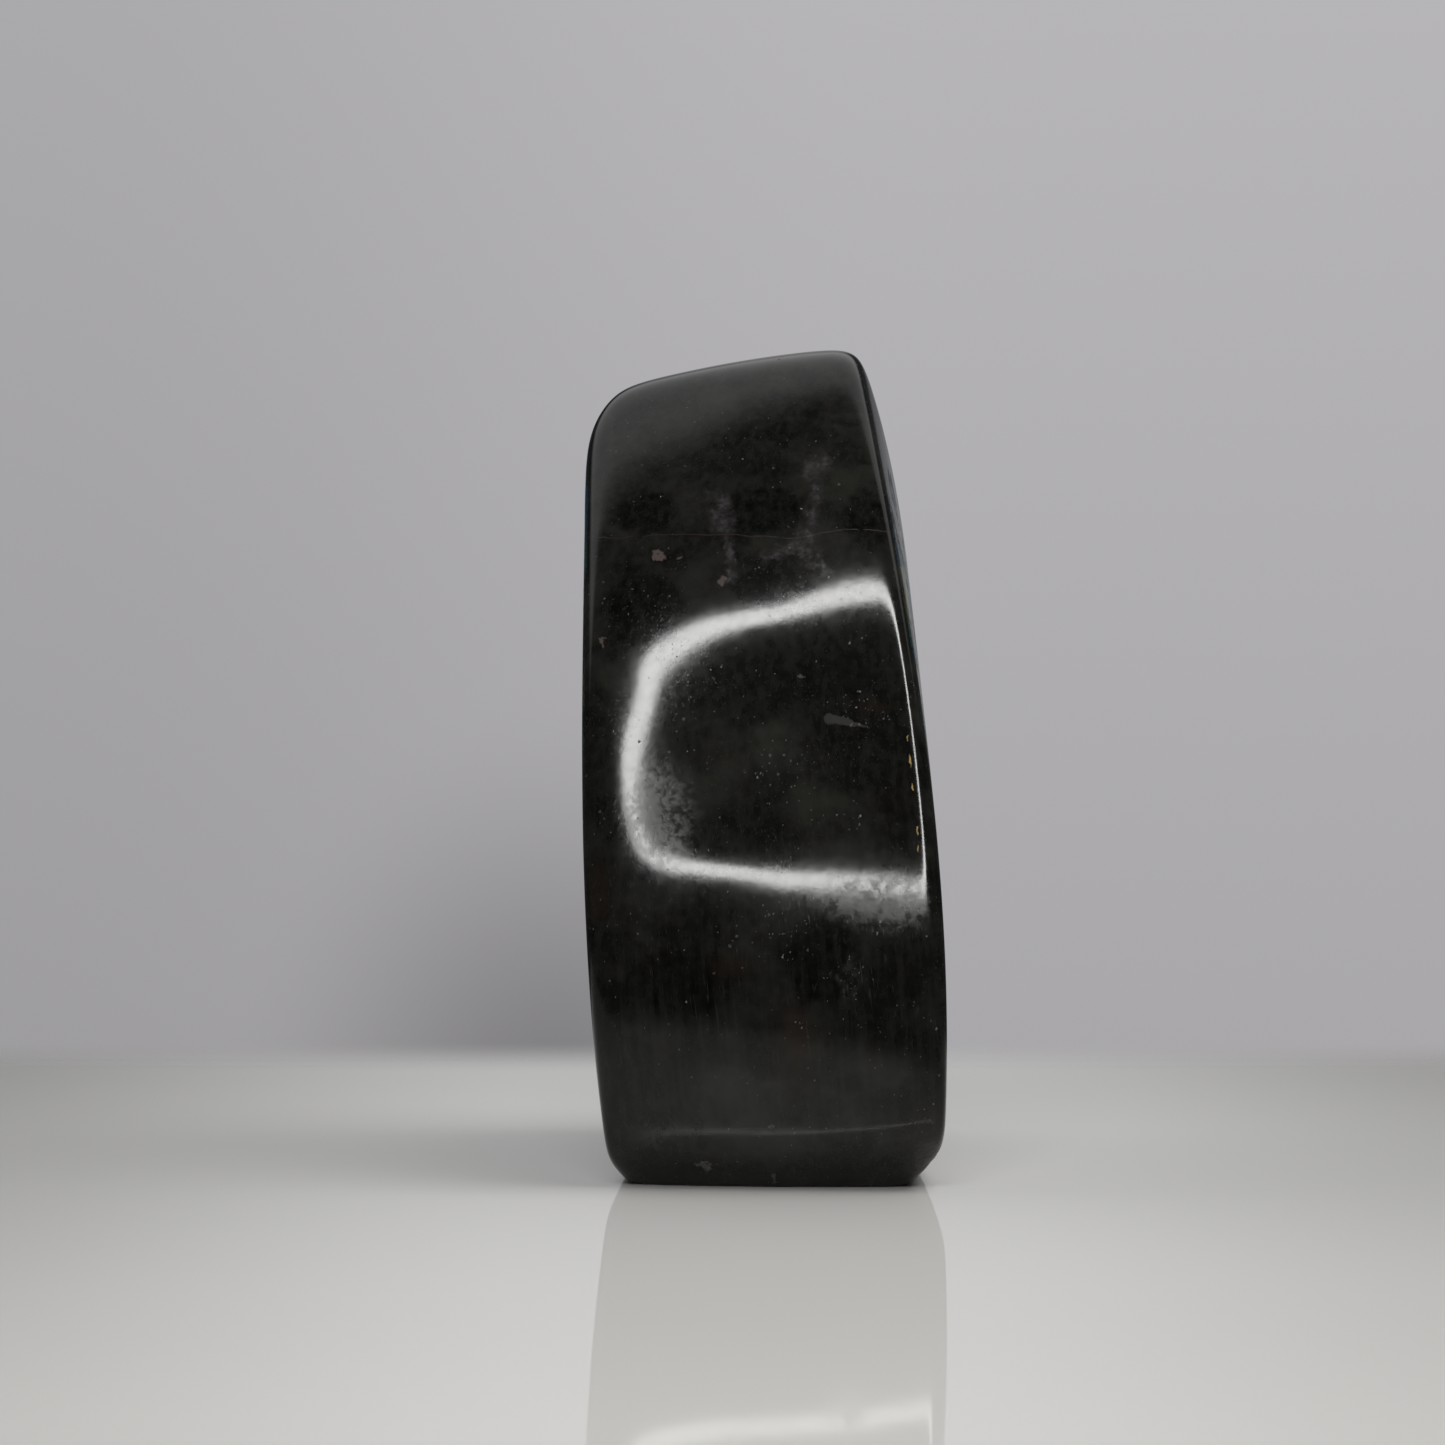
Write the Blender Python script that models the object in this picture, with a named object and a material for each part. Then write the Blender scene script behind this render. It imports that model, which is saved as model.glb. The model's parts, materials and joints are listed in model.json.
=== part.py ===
"""Labradorite freeform: one polished stone, standing on its ground flat base.

The stone was sawn flat underneath and ground by hand into a few broad, shallow domes that run
into each other over rounded arrises. Each dome is described here by the point it passes through,
the way it faces and how strongly it bulges, and the stone is the space behind all of them.

Axes: X is the thickness, left to right, Y runs back along the broad faces, Z is up. The narrow
front edge faces -Y. The origin is the middle of the base. Lengths below are in millimetres and
angles in degrees.
"""

import math

import bmesh
import bpy
import numpy as np

MM = 0.001

HEIGHT = 114.0            # table to the crest
THICKNESS = 49.0          # across the two broad faces
DEPTH = 88.0              # front edge to back edge
BELLY_HEIGHT = 14.8       # where the front edge stands furthest forward
BELLY_X = 24.6            # the belly is ground square to the front only near the right arris
HEART = np.array([0.0, 2.0, 50.0])  # a point well inside, from which the surface is measured

SOFT_ARRIS = 1.8          # blend between the front, top and back domes
LEFT_ARRIS = 1.2          # blend onto the left face and its shoulder
RIGHT_ARRIS = 0.83        # blend onto the right face, at its foot
RIGHT_SOFTENING = 0.84    # how much softer that arris has become at the crest
SOFTENING_POWER = 8       # how late the softening sets in on the way up
FOOT_ARRIS = 0.5          # blend onto the bevels round the foot
BASE_ARRIS = 0.4          # blend onto the ground base
BASE_CUT = 0.35           # how far the base is ground past the start of that blend

SEGMENTS = 88
RINGS = 56
BASE_RINGS = 4            # rings of faces that fill the flat base
SOLVER_STEPS = 42

STONE_COLOUR = (0.016, 0.018, 0.015, 1.0)
STONE_ROUGHNESS = 0.12
DRIFT_REACH = 40.0        # where a dome's drift is measured, out from its point


def dome(point, azimuth, elevation, radius_across, radius_up, twist=0.0, taper=0.0,
         drift=(0.0, 0.0, 0.0)):
    """One ground dome: the point it passes through, the way it faces and its bulges.

    Azimuth 0 faces the front and 90 the right. radius_across is the bulge's radius along the
    level direction in the dome and radius_up the one up it, twist turns the dome like a
    propeller, and taper makes it flatter towards the far end of the level direction. drift is
    how far the grinding strays from that bulge at DRIFT_REACH: along the level direction,
    across and up together, and up.
    """
    a = math.radians(azimuth)
    e = math.radians(elevation)
    normal = np.array([math.sin(a) * math.cos(e), -math.cos(a) * math.cos(e), math.sin(e)])
    across = np.array([math.cos(a), math.sin(a), 0.0])
    return {"point": np.array(point), "normal": normal, "across": across,
            "up": np.cross(normal, across), "radius_across": radius_across,
            "radius_up": radius_up, "twist": twist, "taper": taper, "drift": drift}


FRONT = dome((BELLY_X, -0.5 * DEPTH, BELLY_HEIGHT), 0, 0, 264, 139, twist=-0.0032, taper=0.0098,
             drift=(-0.19, 1.78, 0.44))
LEFT = dome((-24.32, -33.0, 64.0), -90, 0, 2500, 479, twist=-0.0016)
LEFT_SHOULDER = dome((-22.4, -4.0, 107.9), -97, 27.5, 300, 300)
RIGHT = dome((23.85, -38.0, 20.8), 90, 0, 1100, 275, twist=0.0017)
CREST = dome((6.0, 2.0, HEIGHT - 0.6), -53.5, 82, 98, 900)
BACK = dome((0.0, 0.5 * DEPTH, 38.0), 180, 0, 75, 150)
BACK_SHOULDER = dome((2.0, 35.0, 93.0), 172, 40, 100, 130)

FOOT_FRONT = dome((8.0, -42.3, 5.35), 0, -42, 130, 400)
FOOT_LEFT = dome((-21.9, 0.0, 2.2), -90, -45, 400, 500)
FOOT_RIGHT = dome((22.8, 0.0, 1.6), 90, -42, 400, 500)
FOOT_BACK = dome((0.0, 40.0, 5.0), 180, -40, 150, 400)


def height_over(points, shape):
    """How far points stand above a dome: height over its plane plus the fall of its bulge."""
    offset = points - shape["point"]
    u = offset @ shape["across"]
    v = offset @ shape["up"]
    bulge = u * u / (2.0 * shape["radius_across"])
    bulge += v * v / (2.0 * shape["radius_up"]) * np.maximum(1.0 - shape["taper"] * u, 0.3)
    along, both, upward = shape["drift"]
    bulge += (along * u ** 3 + both * u * u * v + upward * v ** 3) / DRIFT_REACH ** 3
    return offset @ shape["normal"] + bulge - shape["twist"] * u * v


def blend(heights, softness):
    """The largest of several heights, with the corners between them rounded."""
    stack = np.stack(heights)
    top = stack.max(axis=0)
    return top + softness * np.log(np.exp((stack - top) / softness).sum(axis=0))


def heights_over(points, *shapes):
    """The heights of the points above several domes."""
    return [height_over(points, shape) for shape in shapes]


def stone_field(points):
    """Below 0 inside the stone, above 0 outside it."""
    body = blend(heights_over(points, FRONT, CREST, BACK, BACK_SHOULDER), SOFT_ARRIS)
    body = blend([body] + heights_over(points, LEFT, LEFT_SHOULDER), LEFT_ARRIS)
    risen = np.clip(points[:, 2] / HEIGHT, 0.0, 1.2)
    right_arris = RIGHT_ARRIS * (1.0 + RIGHT_SOFTENING * risen ** SOFTENING_POWER)
    body = blend([body] + heights_over(points, RIGHT), right_arris)
    body = blend([body] + heights_over(points, FOOT_FRONT, FOOT_LEFT, FOOT_RIGHT, FOOT_BACK),
                 FOOT_ARRIS)
    return blend([body, -BASE_CUT - points[:, 2]], BASE_ARRIS)


def reach(start, directions):
    """Halve the step from the start along each direction until it ends on the surface."""
    near = np.zeros(len(directions))
    far = np.full(len(directions), 3.0)
    for _ in range(SOLVER_STEPS):
        middle = 0.5 * (near + far)
        inside = stone_field(start + directions * middle[:, None]) < 0.0
        near = np.where(inside, middle, near)
        far = np.where(inside, far, middle)
    return start + directions * near[:, None]


def on_the_stone(sphere):
    """Where each point of a unit sphere goes: the lowest rings fill the base, the rest the wall.

    The ring between them lies exactly on the edge of the base. Above it, latitudes on the
    sphere run evenly from that edge to the crest.
    """
    half_sizes = 0.5 * np.array([THICKNESS, DEPTH, HEIGHT])
    foot = HEART * (1.0, 1.0, 0.0)
    up = np.array([0.0, 0.0, 1.0])
    level = np.hypot(sphere[:, 0], sphere[:, 1])
    outward = sphere * (1.0, 1.0, 0.0) / np.maximum(level, 1e-6)[:, None]
    outward[level < 1e-6] = (0.0, -1.0, 0.0)

    edge = reach(foot, outward * half_sizes)
    edge_run = np.linalg.norm((edge - foot) / half_sizes, axis=1)
    edge_latitude = np.arctan2(-HEART[2] / half_sizes[2], edge_run)

    latitude = np.arctan2(sphere[:, 2], level)
    south = -0.5 * math.pi
    rim = south + BASE_RINGS * math.pi / RINGS
    up_the_wall = np.clip((latitude - rim) / (0.5 * math.pi - rim), 0.0, 1.0)
    across_base = np.clip((latitude - south) / (rim - south), 0.0, 1.0)
    aim = edge_latitude + (0.5 * math.pi - edge_latitude) * up_the_wall
    directions = np.cos(aim)[:, None] * outward + np.sin(aim)[:, None] * up
    wall = reach(HEART, directions * half_sizes)
    base = foot + (edge - foot) * across_base[:, None]
    return np.where((latitude > rim + 1e-4)[:, None], wall, base)


def stone_mesh():
    """A ball whose points are moved out to the ground domes, then centred on its base."""
    ball = bmesh.new()
    bmesh.ops.create_uvsphere(ball, u_segments=SEGMENTS, v_segments=RINGS, radius=1.0)
    surface = on_the_stone(np.array([vertex.co[:] for vertex in ball.verts]))
    middle = 0.5 * (surface.min(axis=0) + surface.max(axis=0))
    surface -= np.array([middle[0], middle[1], 0.0])
    for vertex, place in zip(ball.verts, surface * MM):
        vertex.co = place
    bmesh.ops.recalc_face_normals(ball, faces=ball.faces)
    mesh = bpy.data.meshes.new("stone")
    ball.to_mesh(mesh)
    ball.free()
    mesh.shade_smooth()
    return mesh


def stone_material():
    """Near-black green-grey feldspar with a high polish."""
    material = bpy.data.materials.new("polished_labradorite")
    material.use_nodes = True
    shader = material.node_tree.nodes["Principled BSDF"]
    shader.inputs["Base Color"].default_value = STONE_COLOUR
    shader.inputs["Roughness"].default_value = STONE_ROUGHNESS
    shader.inputs["Metallic"].default_value = 0.0
    return material


def main():
    for old in list(bpy.data.objects):
        bpy.data.objects.remove(old)
    stone = bpy.data.objects.new("stone", stone_mesh())
    stone.data.materials.append(stone_material())
    bpy.context.collection.objects.link(stone)


main()
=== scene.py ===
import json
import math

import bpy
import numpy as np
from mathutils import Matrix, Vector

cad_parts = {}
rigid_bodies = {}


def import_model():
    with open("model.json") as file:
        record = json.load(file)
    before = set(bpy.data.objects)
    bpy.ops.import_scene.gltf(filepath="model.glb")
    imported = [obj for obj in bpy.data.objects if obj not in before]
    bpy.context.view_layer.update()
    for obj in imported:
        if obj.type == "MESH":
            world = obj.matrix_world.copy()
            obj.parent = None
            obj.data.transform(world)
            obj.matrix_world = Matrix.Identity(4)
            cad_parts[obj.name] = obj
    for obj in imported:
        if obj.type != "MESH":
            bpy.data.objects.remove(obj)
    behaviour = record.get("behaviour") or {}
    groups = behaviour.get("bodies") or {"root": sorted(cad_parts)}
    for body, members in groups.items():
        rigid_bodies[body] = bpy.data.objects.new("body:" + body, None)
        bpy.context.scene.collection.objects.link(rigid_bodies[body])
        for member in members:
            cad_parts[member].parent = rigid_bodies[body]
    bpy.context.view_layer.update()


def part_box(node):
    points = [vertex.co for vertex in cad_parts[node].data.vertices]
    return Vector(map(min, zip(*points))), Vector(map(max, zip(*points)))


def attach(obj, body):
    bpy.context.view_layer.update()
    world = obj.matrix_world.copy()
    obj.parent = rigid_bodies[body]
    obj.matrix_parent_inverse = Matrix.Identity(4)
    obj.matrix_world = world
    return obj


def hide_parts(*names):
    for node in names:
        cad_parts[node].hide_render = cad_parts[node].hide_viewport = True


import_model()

# %% [markdown]
# # A labradorite freeform
#
# A freeform is one piece of rough labradorite, ground by hand into a few broad, shallow domes,
# polished all over and sawn flat underneath so that it stands up. This lesson gives it the
# surface, the stone inside and the light. The frame holds the plain solid: the surface made
# here fills the same space.

MM = 0.001
low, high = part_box("stone")
thickness, depth, height = [(b - a) / MM for a, b in zip(low, high)]
print(f"frame: {thickness:.1f} x {depth:.1f} x {height:.1f} mm")

# %% [markdown]
# ## The ground domes
#
# A lapidary holds the stone to a wheel and rolls it, which leaves a surface that bulges a little
# differently each way. It could be sculpted, but a sculpted mesh has no numbers to change. Here
# each dome is a formula: how far a point stands above it. The stone is the space that lies below
# all of them, and the corners between them are rounded by a soft maximum, as the last felt wheel
# rounds an arris.

# %% One dome
DRIFT_REACH = 40.0


def dome(point, azimuth, elevation, radius_across, radius_up, twist=0.0, taper=0.0,
         drift=(0.0, 0.0, 0.0)):
    """A dome's frame: a point on it, the way it faces, its level direction and its up one.

    Azimuth 0 faces the front (-Y) and 90 the right (+X). The two radii are of its bulge, twist
    turns it like a propeller and taper flattens it towards the far end of the level direction.
    Drift is how far the grinding strays from that at DRIFT_REACH: along, both ways, and up.
    """
    a = math.radians(azimuth)
    e = math.radians(elevation)
    normal = np.array([math.sin(a) * math.cos(e), -math.cos(a) * math.cos(e), math.sin(e)])
    across = np.array([math.cos(a), math.sin(a), 0.0])
    return {"point": np.array(point), "normal": normal, "across": across,
            "up": np.cross(normal, across), "radius_across": radius_across,
            "radius_up": radius_up, "twist": twist, "taper": taper, "drift": drift}


def height_over(points, shape):
    """How far points stand over a dome.

    Height over its plane + u^2 / (2 Ra) + (1 - taper u) v^2 / (2 Ru) - twist u v + cubic drift.
    """
    offset = points - shape["point"]
    u = offset @ shape["across"]
    v = offset @ shape["up"]
    bulge = u * u / (2.0 * shape["radius_across"])
    bulge += v * v / (2.0 * shape["radius_up"]) * np.maximum(1.0 - shape["taper"] * u, 0.3)
    along, both, upward = shape["drift"]
    bulge += (along * u ** 3 + both * u * u * v + upward * v ** 3) / DRIFT_REACH ** 3
    return offset @ shape["normal"] + bulge - shape["twist"] * u * v


def heights_over(points, *shapes):
    """The same for several domes, as a list that blend can take."""
    return [height_over(points, shape) for shape in shapes]


trial_dome = dome((0.0, 0.0, 0.0), 0, 0, 300, 300)
trial_point = np.array([[20.0, 0.0, 0.0]])
print(f"a 300 mm dome falls away {height_over(trial_point, trial_dome)[0]:.2f} mm at 20 mm out")

# %% The soft maximum of several domes
def blend(heights, softness):
    """Soft maximum: the largest height + softness * log(sum of exp(difference / softness))."""
    stack = np.stack(heights)
    top = stack.max(axis=0)
    return top + softness * np.log(np.exp((stack - top) / softness).sum(axis=0))


rounding = blend([np.zeros(1), np.zeros(1)], 1.0)[0]
print(f"where two domes meet, a softness of 1 mm takes {rounding:.2f} mm off the corner")

# %% The domes of this stone, in millimetres
HEIGHT = 114.0
HALF_DEPTH = 44.0

FRONT = dome((24.6, -HALF_DEPTH, 14.8), 0, 0, 264, 139, twist=-0.0032, taper=0.0098,
             drift=(-0.19, 1.78, 0.44))
LEFT = dome((-24.32, -33.0, 64.0), -90, 0, 2500, 479, twist=-0.0016)
LEFT_SHOULDER = dome((-22.4, -4.0, 107.9), -97, 27.5, 300, 300)
RIGHT = dome((23.85, -38.0, 20.8), 90, 0, 1100, 275, twist=0.0017)
CREST = dome((6.0, 2.0, HEIGHT - 0.6), -53.5, 82, 98, 900)
BACK = dome((0.0, HALF_DEPTH, 38.0), 180, 0, 75, 150)
BACK_SHOULDER = dome((2.0, 35.0, 93.0), 172, 40, 100, 130)
FOOT_BEVELS = (
    dome((8.0, -42.3, 5.35), 0, -42, 130, 400),
    dome((-21.9, 0.0, 2.2), -90, -45, 400, 500),
    dome((22.8, 0.0, 1.6), 90, -42, 400, 500),
    dome((0.0, 40.0, 5.0), 180, -40, 150, 400),
)
print(f"foot bevels: {len(FOOT_BEVELS)}, standing {HEIGHT:.0f} mm tall")

# %% How soft each arris is
SOFT_ARRIS = 1.8
LEFT_ARRIS = 1.2
RIGHT_ARRIS = 0.83
RIGHT_SOFTENING = 0.84
SOFTENING_POWER = 8
FOOT_ARRIS = 0.5
BASE_ARRIS = 0.4
BASE_CUT = 0.35


def stone_field(points):
    """The soft maximum of all the domes: below 0 inside the stone."""
    body = blend(heights_over(points, FRONT, CREST, BACK, BACK_SHOULDER), SOFT_ARRIS)
    body = blend([body] + heights_over(points, LEFT, LEFT_SHOULDER), LEFT_ARRIS)
    risen = np.clip(points[:, 2] / HEIGHT, 0.0, 1.2)
    right_arris = RIGHT_ARRIS * (1.0 + RIGHT_SOFTENING * risen ** SOFTENING_POWER)
    body = blend([body, height_over(points, RIGHT)], right_arris)
    body = blend([body] + heights_over(points, *FOOT_BEVELS), FOOT_ARRIS)
    return blend([body, -BASE_CUT - points[:, 2]], BASE_ARRIS)


# %% [markdown]
# ## A grid over the whole stone
#
# The surface is a function of two parameters, as a globe's is: the longitude round the stone and
# a height parameter from the base to the crest. Along each direction from a point well inside,
# the distance to the surface is found by halving. The lowest ring is put exactly on the edge of
# the sawn base, so that the edge is clean all the way round.

# %% Distance to the surface
HEART = np.array([0.0, 2.0, 50.0])
FARTHEST = 3.0
HALVINGS = 27


def reach(start, directions):
    """Halve the step along each direction, from FARTHEST of its length, until it ends on the surface."""
    near = np.zeros(len(directions))
    far = np.full(len(directions), FARTHEST)
    for _ in range(HALVINGS):
        middle = 0.5 * (near + far)
        inside = stone_field(start + directions * middle[:, None]) < 0.0
        near = np.where(inside, middle, near)
        far = np.where(inside, far, middle)
    return start + directions * near[:, None]


ahead = reach(HEART, np.array([[0.0, -HALF_DEPTH, 0.0]]))
print(f"straight ahead of the heart, the front edge is at y = {ahead[0, 1]:.2f} mm")

# %% Latitudes: from the edge of the base to the crest
AROUND = 384
WALL_RINGS = 244
BASE_RINGS = 10
EASING = 0.25
half_sizes = 0.5 * np.array([thickness, depth, height])
foot = HEART * (1.0, 1.0, 0.0)


def outward(longitude):
    """Level unit directions: longitude 0 is the front and a quarter turn is the right."""
    return np.stack([np.sin(longitude), -np.cos(longitude), np.zeros_like(longitude)], axis=-1)


def wall_row(t, longitude):
    """Points at longitudes on the row t, 0 at the base's edge and 1 at the crest.

    Latitude = edge latitude + (90 degrees - edge latitude) * ((1 - EASING) t + EASING t^2).
    """
    level = outward(longitude)
    edge = reach(foot, level * half_sizes)
    run = np.linalg.norm((edge - foot) / half_sizes, axis=-1)
    edge_latitude = np.arctan2(-HEART[2] / half_sizes[2], run)
    eased = (1.0 - EASING) * t + EASING * t * t
    latitude = edge_latitude + (0.5 * math.pi - edge_latitude) * eased
    directions = np.cos(latitude)[:, None] * level + np.sin(latitude)[:, None] * (0.0, 0.0, 1.0)
    return np.where((t == 0.0)[:, None], edge, reach(HEART, directions * half_sizes))


front_of_base = wall_row(np.zeros(1), np.zeros(1))
print(f"the sawn base begins at y = {front_of_base[0, 1]:.2f} mm")

# %% Longitudes: closer together where the outline turns, so that the arrises come out crisp
TRIAL_ROWS = 24
TRIAL_STEPS = 1200
LAST_TRIAL_ROW = 0.985
TURN_LENGTH = 11.0


def crowded_longitudes():
    """Equal steps of (length + TURN_LENGTH * turning) along each trial row's outline."""
    trial = np.linspace(0.0, 2.0 * math.pi, TRIAL_STEPS, endpoint=False)
    t = np.linspace(0.0, LAST_TRIAL_ROW, TRIAL_ROWS)
    outline = wall_row(np.repeat(t, TRIAL_STEPS), np.tile(trial, TRIAL_ROWS))
    outline = outline.reshape(TRIAL_ROWS, TRIAL_STEPS, 3)
    step = np.roll(outline, -1, axis=1) - outline
    length = np.linalg.norm(step, axis=2)
    ahead = step / length[..., None]
    turning = np.arccos(np.clip((ahead * np.roll(ahead, 1, axis=1)).sum(axis=2), -1.0, 1.0))
    passed = np.cumsum(length + TURN_LENGTH * turning, axis=1)
    passed = np.concatenate([np.zeros((TRIAL_ROWS, 1)), passed], axis=1)
    ends = np.append(trial, 2.0 * math.pi)
    share = np.arange(AROUND) / AROUND
    return t, np.stack([np.interp(share * row[-1], row, ends) for row in passed])


trial_t, trial_longitudes = crowded_longitudes()
rows = np.arange(WALL_RINGS) / WALL_RINGS
longitudes = np.stack([np.interp(rows, trial_t, column) for column in trial_longitudes.T], axis=1)
wall = wall_row(np.repeat(rows, AROUND), longitudes.ravel())
crest = reach(HEART, np.array([[0.0, 0.0, half_sizes[2]]]))
print(f"wall: {WALL_RINGS} rings of {AROUND}, crest at {crest[0, 2]:.2f} mm")

# %% [markdown]
# ## The marks of the wheel
#
# A hand-ground surface is never a perfect dome: it wanders by a hundredth of a millimetre, and by
# up to 0.15 mm where the wheel dwelt or skipped. On a mirror polish that is enough to bend every
# reflection. The foot bevel at the right was left rough. All of this is shape, so it is given to
# the mesh and not to the finish. Sums of a few sine waves that run in different directions make a
# smooth, repeatable wander, and a round bell curve makes each mark.

# %% Waves
SLOPE_STEP = 0.01
rng = np.random.default_rng(7)


def wander(points, wavelength, count):
    """Sines added up: sum of sin(2 pi direction . point / wavelength + phase) / sqrt(count)."""
    directions = rng.normal(size=(count, 3))
    directions /= np.linalg.norm(directions, axis=1, keepdims=True)
    lengths = wavelength * rng.uniform(0.7, 1.5, count)
    phases = rng.uniform(0.0, 2.0 * math.pi, count)
    turns = (points @ directions.T) / lengths
    return np.sin(2.0 * math.pi * turns + phases).sum(axis=1) / math.sqrt(count)


def outward_normals(points):
    """The field's slope, from differences over SLOPE_STEP both ways, made one unit long."""
    slope = np.stack([stone_field(points + SLOPE_STEP * axis) - stone_field(points - SLOPE_STEP * axis)
                      for axis in np.eye(3)], axis=-1)
    return slope / np.linalg.norm(slope, axis=1, keepdims=True)


skin = np.concatenate([wall, crest])
skin_normals = outward_normals(skin)
print(f"skin: {len(skin)} points")

# %% Wheel marks on the front edge: a place (x, z) and how proud or hollow each one is
WHEEL_MARKS = (
    ((-11.2, 69.5), -0.092), ((2.5, 72.9), 0.120), ((-16.1, 46.1), 0.145),
    ((-5.6, 43.7), 0.140), ((-21.6, 64.7), -0.137),
)
MARK_SIZE = 6.0
BROAD_WANDER = 0.005
FINE_WANDER = 0.0015
relief = BROAD_WANDER * wander(skin, 15.0, 12) + FINE_WANDER * wander(skin, 6.0, 12)
front_facing = np.clip(-skin_normals[:, 1], 0.0, 1.0)
for (x, z), proud in WHEEL_MARKS:
    away = np.hypot(skin[:, 0] - x, skin[:, 2] - z) / MARK_SIZE
    relief += proud * front_facing * np.exp(-away * away)
print(f"wheel marks: {relief.min():.3f} to {relief.max():.3f} mm")

# %% The rough bevel, and no relief on the base
ROUGH_BEVEL = (22.3, -39.0, 2.6)
ROUGH_REACH = (2.6, 18.0, 2.6)
ROUGH_RISE = 0.06
SETTLING = 1.5
rough = np.exp(-(np.linalg.norm((skin - ROUGH_BEVEL) / ROUGH_REACH, axis=1)) ** 2)
relief += rough * ROUGH_RISE * wander(skin, 2.4, 24)
settled = np.clip(skin[:, 2] / SETTLING, 0.0, 1.0)
skin += skin_normals * (relief * settled)[:, None]
skin[:, 2] = np.maximum(skin[:, 2], 0.0)
print(f"relief: {relief.min():.3f} to {relief.max():.3f} mm")

# %% [markdown]
# ## Closing the base
#
# Underneath, the sawn face is flat. Rings that shrink towards the middle fill it, and one point
# closes it. One point closes the crest too.

# %% The mesh
def base_grid(edge):
    """Copies of the edge ring drawn in towards its middle: middle + (edge - middle) * (1 - t)."""
    middle = edge.mean(axis=0) * (1.0, 1.0, 0.0)
    t = np.arange(1, BASE_RINGS) / BASE_RINGS
    return (middle + (edge - middle) * (1.0 - t)[:, None, None]).reshape(-1, 3), middle


def ring_faces(rings, first):
    """Quads between neighbouring rings of AROUND points, the first ring at index first."""
    ring, place = np.meshgrid(np.arange(rings - 1), np.arange(AROUND), indexing="ij")
    after = (place + 1) % AROUND
    a = first + ring * AROUND
    b = a + AROUND
    return np.stack([a + place, a + after, b + after, b + place], axis=-1).reshape(-1, 4)


def fan_faces(first, tip, upward):
    """Triangles from one ring to a closing point."""
    place = np.arange(AROUND)
    after = (place + 1) % AROUND
    pair = (place, after) if upward else (after, place)
    return np.stack([first + pair[0], first + pair[1], np.full(AROUND, tip)], axis=-1)


base, middle = base_grid(skin[:AROUND])
wall_count = WALL_RINGS * AROUND
points = np.concatenate([skin, base, middle[None]])
base_first = wall_count + 1
base_ring = np.concatenate([np.arange(AROUND), base_first + np.arange(len(base))])
base_ring = base_ring.reshape(BASE_RINGS, AROUND)
after = np.roll(base_ring, -1, axis=1)
base_quads = np.stack([after[:-1], base_ring[:-1], base_ring[1:], after[1:]], axis=-1).reshape(-1, 4)
quads = np.concatenate([ring_faces(WALL_RINGS, 0), base_quads])
tips = np.concatenate([fan_faces(wall_count - AROUND, wall_count, True),
                       fan_faces(base_first + len(base) - AROUND, len(points) - 1, False)])

middle_of_box = 0.5 * (points.min(axis=0) + points.max(axis=0))
points -= middle_of_box * (1.0, 1.0, 0.0)
points[:, :2] += 0.5 * (np.array(low) + np.array(high))[:2] / MM

mesh = bpy.data.meshes.new("stone_surface")
mesh.from_pydata((points * MM).tolist(), [], quads.tolist() + tips.tolist())
mesh.shade_smooth()
mesh.update()
stone = bpy.data.objects.new("polished_stone", mesh)
bpy.context.collection.objects.link(stone)
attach(stone, "root")
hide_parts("stone")
print(f"mesh: {len(points)} points, {2 * len(quads) + len(tips)} triangles")
print(f"moved by {-middle_of_box[0]:.3f}, {-middle_of_box[1]:.3f} mm to stand in its frame")

# %% [markdown]
# ## Writing a finish as expressions
#
# A stone's finish is layers of masks: clouds, veins, cracks, specks. Wiring each Math node by hand
# hides what is meant, so a small class wraps a node's output, and ordinary operators between
# wrapped values add the Math nodes. One method makes every other node.

# %% The shader expression class
class Strand:
    """A shader socket that can be used in an expression."""

    def __init__(self, tree, output):
        self.tree = tree
        self.output = output

    def node(self, kind, settings, sockets, take=0):
        """Any node: its type, its settings first, then values or strands for its sockets."""
        made = self.tree.nodes.new(kind)
        for name, value in settings.items():
            if name == "stops":
                set_stops(made.color_ramp, value)
            else:
                setattr(made, name, value)
        for name, value in sockets.items():
            if isinstance(value, Strand):
                self.tree.links.new(value.output, made.inputs[name])
            else:
                made.inputs[name].default_value = value
        return Strand(self.tree, made.outputs[take])

    def math(self, operation, *others):
        """Any Math node, with this strand on its first socket."""
        sockets = dict(enumerate((self,) + others))
        return self.node("ShaderNodeMath", {"operation": operation}, sockets)

    def __add__(self, other):
        return self.math("ADD", other)

    def __sub__(self, other):
        return self.math("SUBTRACT", other)

    def __mul__(self, other):
        return self.math("MULTIPLY", other)

    def __rsub__(self, other):
        return self * -1.0 + other

    __radd__ = __add__
    __rmul__ = __mul__


def set_stops(ramp, stops):
    """Fill a ramp's stops, each a place and a colour."""
    while len(ramp.elements) < len(stops):
        ramp.elements.new(1.0)
    for element, (place, colour) in zip(ramp.elements, stops):
        element.position = place
        element.color = colour


# %% Small words for the finish
def vector_math(operation, a, *others, take=0, **named):
    """Any Vector Math node: strands or vectors in order, then sockets by name."""
    sockets = dict(enumerate((a,) + others))
    sockets.update(named)
    return a.node("ShaderNodeVectorMath", {"operation": operation}, sockets, take)


def between(value, start, end):
    """0 at start, 1 at end, eased: start may be the larger."""
    return value.node("ShaderNodeMapRange", {"interpolation_type": "SMOOTHSTEP"},
                      {0: value, 1: start, 2: end, 3: 0.0, 4: 1.0})


def mix_colour(amount, a, b):
    """Colour a where the amount is 0 and b where it is 1."""
    return amount.node("ShaderNodeMix", {"data_type": "RGBA"}, {0: amount, 6: a, 7: b}, take=2)


def mix_value(amount, a, b):
    """The same for plain values."""
    return amount.node("ShaderNodeMix", {"data_type": "FLOAT"}, {0: amount, 2: a, 3: b})


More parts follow.
